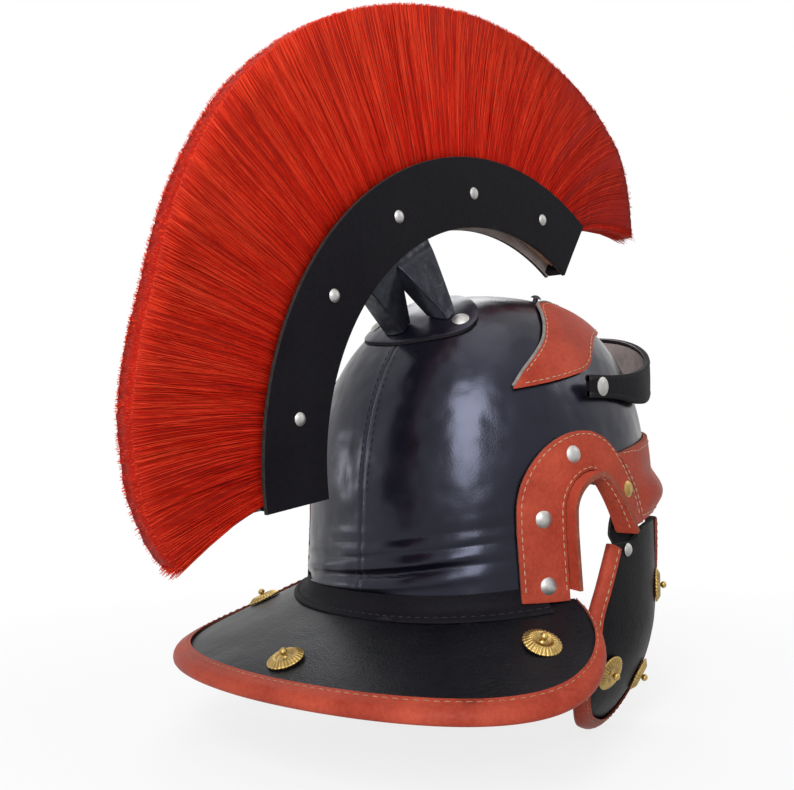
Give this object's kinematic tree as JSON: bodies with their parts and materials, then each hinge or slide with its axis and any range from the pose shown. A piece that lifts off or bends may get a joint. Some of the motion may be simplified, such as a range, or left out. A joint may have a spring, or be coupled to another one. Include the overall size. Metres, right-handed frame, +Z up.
{
  "type": "leather legionary helmet",
  "caption": "Leather soldier's helmet with a domed bowl, flared neck guard, hinged cheek guards, a tilting visor strap and an upright fore-and-aft hair crest.",
  "frame": {"origin": "centre of the head opening in plan, level with the front ends of the neck guard's outer edge", "axes": "+Z up towards the crown, the face looks along -Y, the wearer's right is -X"},
  "size_m": [0.2822, 0.4289, 0.4332],
  "materials": {
    "black_leather": "polished, with creases",
    "black_leather_plain": "satin",
    "red_leather": "satin, stitched along the edges",
    "raw_leather": "matt, uncoloured",
    "crest_hair": "stiff hair, cut to a smooth outline",
    "rivet_steel": "domed, satin",
    "brass": "aged",
    "black_metal": "gloss"
  },
  "bodies": {
    "helmet": {"bowl_right": "black_leather", "bowl_left": "black_leather", "sweatband": "raw_leather", "neck_guard": "black_leather", "neck_guard_binding": "red_leather", "neck_rosettes": "brass", "ear_plate_right": "red_leather", "ear_plate_left": "red_leather", "ear_flange_right": "red_leather", "ear_flange_left": "red_leather", "ear_rivets": "rivet_steel", "brow_band": "red_leather", "brow_rivets": "brass", "forehead_patch": "red_leather", "forehead_studs": "black_metal", "visor_rivets": "rivet_steel", "crest_panel_right": "black_leather_plain", "crest_panel_left": "black_leather_plain", "crest_core_front": "raw_leather", "crest_core_rear": "raw_leather", "crest_cap_front": "black_leather_plain", "crest_cap_rear": "black_leather_plain", "crest_rivets": "rivet_steel", "hair_tuft_1": "crest_hair", "hair_tuft_2": "crest_hair", "hair_tuft_3": "crest_hair", "hair_tuft_4": "crest_hair", "hair_tuft_5": "crest_hair", "hair_tuft_6": "crest_hair", "hair_tuft_7": "crest_hair", "hair_tuft_8": "crest_hair", "hair_tuft_9": "crest_hair", "stand_fork": "black_leather", "stand_base": "black_leather", "stand_rivets": "rivet_steel", "hinge_tab_right": "black_leather", "hinge_tab_left": "black_leather"},
    "cheek_right": {"cheek_guard_right": "black_leather", "cheek_binding_right": "red_leather", "cheek_rosettes_right": "brass", "cheek_tab_right": "black_leather", "tab_rivet_right": "rivet_steel"},
    "cheek_left": {"cheek_guard_left": "black_leather", "cheek_binding_left": "red_leather", "cheek_rosettes_left": "brass", "cheek_tab_left": "black_leather", "tab_rivet_left": "rivet_steel"},
    "visor": {"visor_strap": "black_leather_plain"}
  },
  "joints": [
    {"name": "cheek_right_hinge", "type": "hinge", "parent": "helmet", "child": "cheek_right", "pos_m": [-0.1005, -0.01, 0.0455], "axis": [0, 1, 0], "range_deg": [-8, 60]},
    {"name": "cheek_left_hinge", "type": "hinge", "parent": "helmet", "child": "cheek_left", "pos_m": [0.1005, -0.01, 0.0455], "axis": [0, -1, 0], "range_deg": [-8, 60]},
    {"name": "visor_tilt", "type": "hinge", "parent": "helmet", "child": "visor", "pos_m": [0, 0.002, 0.132], "axis": [-1, 0, 0], "range_deg": [-4, 20]}
  ]
}
